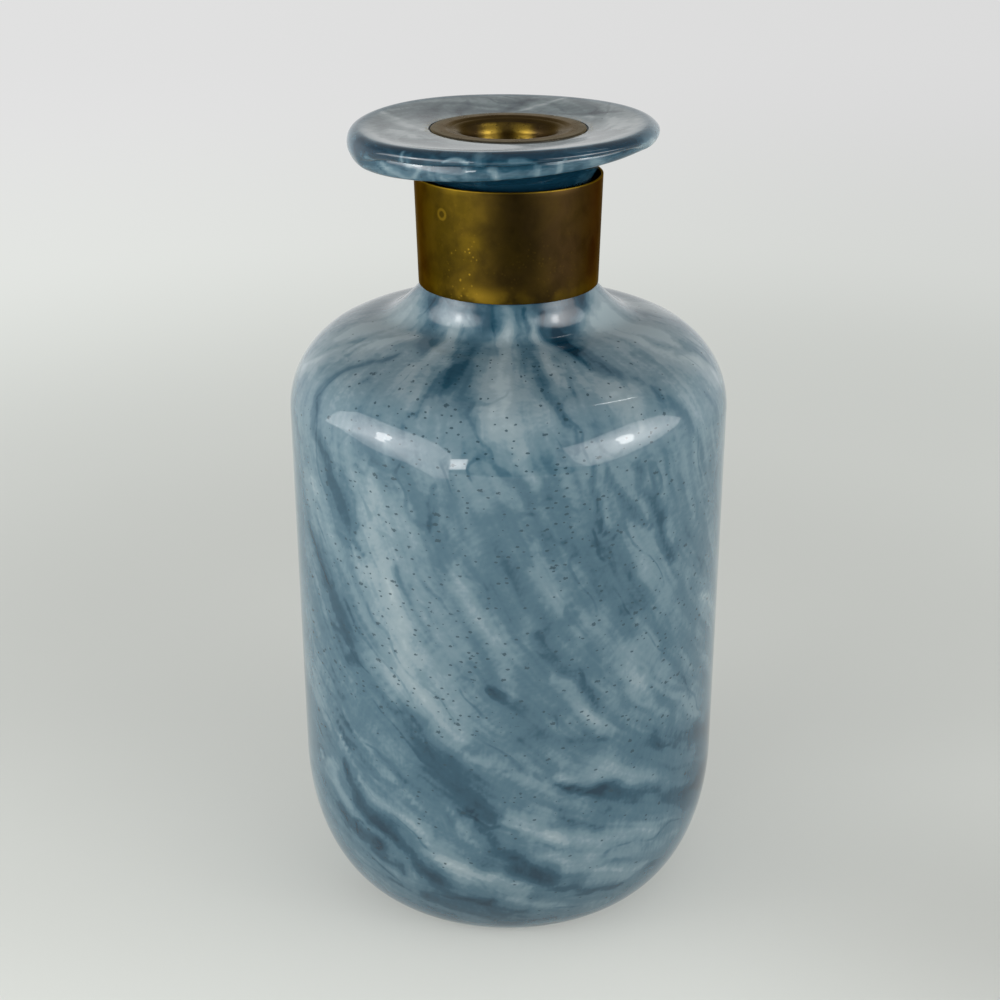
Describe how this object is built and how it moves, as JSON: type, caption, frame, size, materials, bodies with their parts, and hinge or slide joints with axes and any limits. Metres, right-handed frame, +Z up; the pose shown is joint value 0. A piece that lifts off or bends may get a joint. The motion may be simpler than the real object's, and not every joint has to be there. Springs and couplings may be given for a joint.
{
  "type": "glass decanter",
  "caption": "Blown marbled blue-grey glass decanter with a folded flared lip, an aged brass neck collar and a lift-out brass mouth ferrule on a cork bung",
  "frame": {"origin": "centre of the foot, on the table", "axes": "+Z up along the decanter's axis, +X to the viewer's right, -Y towards the viewer in the picture"},
  "size_m": [0.152, 0.152, 0.282],
  "materials": {
    "marbled_glass": "glossy, marbled",
    "aged_brass": "tarnished satin",
    "worn_brass": "worn, pitted",
    "cork": "matte"
  },
  "bodies": {
    "vessel": {"glass_vessel": "marbled_glass"},
    "collar": {"neck_collar": "aged_brass"},
    "ferrule": {"mouth_ferrule": "worn_brass", "neck_bung": "cork"}
  },
  "joints": [
    {"name": "collar_turn", "type": "hinge", "parent": "vessel", "child": "collar", "pos_m": [0, 0, 0.246], "axis": [0, 0, 1], "continuous": true},
    {"name": "ferrule_lift", "type": "slide", "parent": "vessel", "child": "ferrule", "axis": [0, 0, 1], "range_m": [0, 0.04]}
  ]
}
